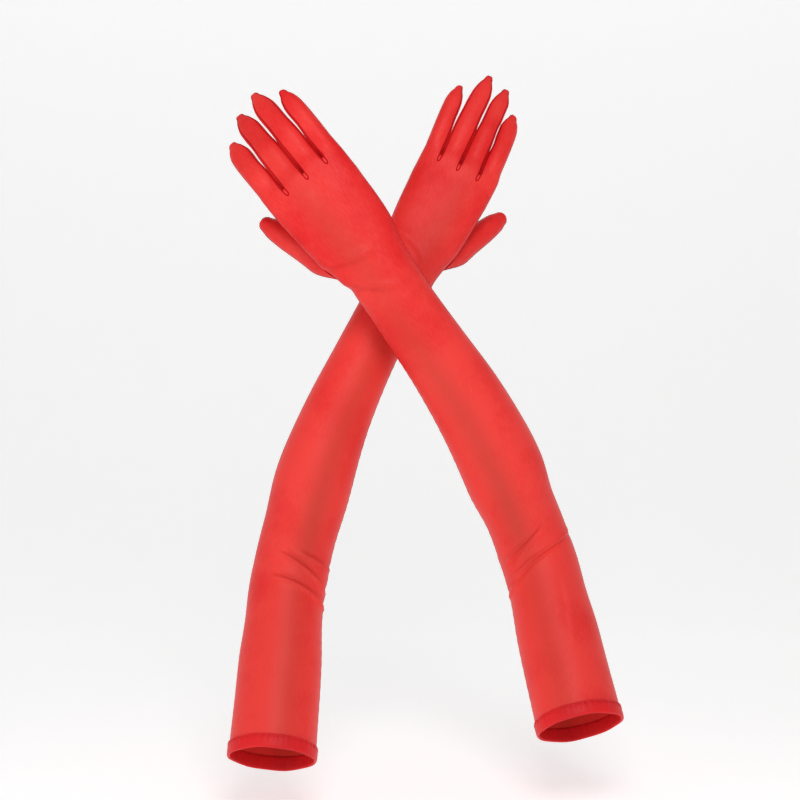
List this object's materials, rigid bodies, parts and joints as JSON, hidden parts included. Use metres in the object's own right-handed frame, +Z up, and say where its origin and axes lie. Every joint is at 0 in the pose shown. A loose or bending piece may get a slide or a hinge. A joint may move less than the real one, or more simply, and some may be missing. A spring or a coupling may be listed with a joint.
{
  "type": "opera gloves",
  "caption": "Pair of long stretch-satin opera gloves over the elbow, shaped as worn on crossed arms, with bending elbows, wrists, thumbs and fingers.",
  "frame": {"origin": "centre of the left glove's arm opening, in the plane of its hem rim", "axes": "+Z up towards the fingertips of the raised gloves, -Y to the side of the backs of the hands, +X to the side of the right glove's arm"},
  "size_m": [0.3185, 0.1635, 0.5777],
  "materials": {
    "satin": "stretch satin knit in scarlet with a soft sheen",
    "hem": "the same cloth doubled and sewn, a little darker"
  },
  "bodies": {
    "upper_sleeves": {"left_upper_sleeve": "satin", "left_hem_band": "hem", "right_upper_sleeve": "satin", "right_hem_band": "hem"},
    "left_forearm": {"left_forearm_sleeve": "satin"},
    "left_hand": {"left_back_panel": "satin", "left_palm_panel": "satin", "left_fourchette_little_ring": "satin", "left_fourchette_ring_middle": "satin", "left_fourchette_middle_index": "satin"},
    "left_thumb_stall": {"left_thumb": "satin"},
    "left_little_root": {"left_little_stall": "satin"},
    "left_little_end": {"left_little_tip": "satin"},
    "left_ring_root": {"left_ring_stall": "satin"},
    "left_ring_end": {"left_ring_tip": "satin"},
    "left_middle_root": {"left_middle_stall": "satin"},
    "left_middle_end": {"left_middle_tip": "satin"},
    "left_index_root": {"left_index_stall": "satin"},
    "left_index_end": {"left_index_tip": "satin"},
    "right_forearm": {"right_forearm_sleeve": "satin"},
    "right_hand": {"right_back_panel": "satin", "right_palm_panel": "satin", "right_fourchette_little_ring": "satin", "right_fourchette_ring_middle": "satin", "right_fourchette_middle_index": "satin"},
    "right_thumb_stall": {"right_thumb": "satin"},
    "right_little_root": {"right_little_stall": "satin"},
    "right_little_end": {"right_little_tip": "satin"},
    "right_ring_root": {"right_ring_stall": "satin"},
    "right_ring_end": {"right_ring_tip": "satin"},
    "right_middle_root": {"right_middle_stall": "satin"},
    "right_middle_end": {"right_middle_tip": "satin"},
    "right_index_root": {"right_index_stall": "satin"},
    "right_index_end": {"right_index_tip": "satin"}
  },
  "joints": [
    {"name": "left_elbow", "type": "hinge", "parent": "upper_sleeves", "child": "left_forearm", "pos_m": [0.00061, 0.082, 0.13918], "axis": [0.7694, 0.5488, -0.3267], "range_deg": [-30, 2]},
    {"name": "left_wrist", "type": "hinge", "parent": "left_forearm", "child": "left_hand", "pos_m": [0.10568, 0.09071, 0.39122], "axis": [-0.887, 0, 0.4617], "range_deg": [-8, 60]},
    {"name": "left_thumb", "type": "hinge", "parent": "left_hand", "child": "left_thumb_stall", "pos_m": [0.13763, 0.09895, 0.40117], "axis": [-0.3112, 0.9079, -0.2809], "range_deg": [0, 32]},
    {"name": "left_little_knuckle", "type": "hinge", "parent": "left_hand", "child": "left_little_root", "pos_m": [0.12678, 0.09343, 0.49058], "axis": [-0.9211, -0.0042, 0.3892], "range_deg": [-10, 70]},
    {"name": "left_little_middle_joint", "type": "hinge", "parent": "left_little_root", "child": "left_little_end", "pos_m": [0.13792, 0.09563, 0.51697], "axis": [-0.9211, -0.0042, 0.3892], "range_deg": [-10, 70]},
    {"name": "left_ring_knuckle", "type": "hinge", "parent": "left_hand", "child": "left_ring_root", "pos_m": [0.14417, 0.09369, 0.48716], "axis": [-0.907, -0.0024, 0.4211], "range_deg": [-10, 70]},
    {"name": "left_ring_middle_joint", "type": "hinge", "parent": "left_ring_root", "child": "left_ring_end", "pos_m": [0.15885, 0.09655, 0.5188], "axis": [-0.907, -0.0024, 0.4211], "range_deg": [-10, 70]},
    {"name": "left_middle_knuckle", "type": "hinge", "parent": "left_hand", "child": "left_middle_root", "pos_m": [0.15982, 0.09364, 0.47781], "axis": [-0.9099, -0.0027, 0.4148], "range_deg": [-10, 70]},
    {"name": "left_middle_middle_joint", "type": "hinge", "parent": "left_middle_root", "child": "left_middle_end", "pos_m": [0.17401, 0.09763, 0.50897], "axis": [-0.9099, -0.0027, 0.4148], "range_deg": [-10, 70]},
    {"name": "left_index_knuckle", "type": "hinge", "parent": "left_hand", "child": "left_index_root", "pos_m": [0.17272, 0.09327, 0.46318], "axis": [-0.9265, -0.0049, 0.3763], "range_deg": [-10, 70]},
    {"name": "left_index_middle_joint", "type": "hinge", "parent": "left_index_root", "child": "left_index_end", "pos_m": [0.18412, 0.09725, 0.49131], "axis": [-0.9265, -0.0049, 0.3763], "range_deg": [-10, 70]},
    {"name": "right_elbow", "type": "hinge", "parent": "upper_sleeves", "child": "right_forearm", "pos_m": [0.21299, 0.07739, 0.15852], "axis": [0.8486, -0.3706, 0.3776], "range_deg": [-4, 55]},
    {"name": "right_wrist", "type": "hinge", "parent": "right_forearm", "child": "right_hand", "pos_m": [0.08845, 0.0172, 0.38572], "axis": [-0.7738, 0, -0.6334], "range_deg": [-60, 8]},
    {"name": "right_thumb", "type": "hinge", "parent": "right_hand", "child": "right_thumb_stall", "pos_m": [0.0518, 0.03442, 0.38905], "axis": [-0.1294, -0.9896, 0.0622], "range_deg": [0, 32]},
    {"name": "right_little_knuckle", "type": "hinge", "parent": "right_hand", "child": "right_little_root", "pos_m": [0.04907, 0.01989, 0.48124], "axis": [-0.7738, 0, -0.6334], "range_deg": [-10, 70]},
    {"name": "right_little_middle_joint", "type": "hinge", "parent": "right_little_root", "child": "right_little_end", "pos_m": [0.0309, 0.01858, 0.50345], "axis": [-0.7738, 0, -0.6334], "range_deg": [-10, 70]},
    {"name": "right_ring_knuckle", "type": "hinge", "parent": "right_hand", "child": "right_ring_root", "pos_m": [0.03149, 0.01954, 0.47305], "axis": [-0.7782, -0.0005, -0.628], "range_deg": [-10, 70]},
    {"name": "right_ring_middle_joint", "type": "hinge", "parent": "right_ring_root", "child": "right_ring_end", "pos_m": [0.00985, 0.02172, 0.49986], "axis": [-0.7782, -0.0005, -0.628], "range_deg": [-10, 70]},
    {"name": "right_middle_knuckle", "type": "hinge", "parent": "right_hand", "child": "right_middle_root", "pos_m": [0.01662, 0.01961, 0.45947], "axis": [-0.7804, -0.0007, -0.6253], "range_deg": [-10, 70]},
    {"name": "right_middle_middle_joint", "type": "hinge", "parent": "right_middle_root", "child": "right_middle_end", "pos_m": [-0.00445, 0.02349, 0.48576], "axis": [-0.7804, -0.0007, -0.6253], "range_deg": [-10, 70]},
    {"name": "right_index_knuckle", "type": "hinge", "parent": "right_hand", "child": "right_index_root", "pos_m": [0.0055, 0.0201, 0.4413], "axis": [-0.7869, -0.0015, -0.6171], "range_deg": [-10, 70]},
    {"name": "right_index_middle_joint", "type": "hinge", "parent": "right_index_root", "child": "right_index_end", "pos_m": [-0.01296, 0.02399, 0.46483], "axis": [-0.7869, -0.0015, -0.6171], "range_deg": [-10, 70]}
  ]
}
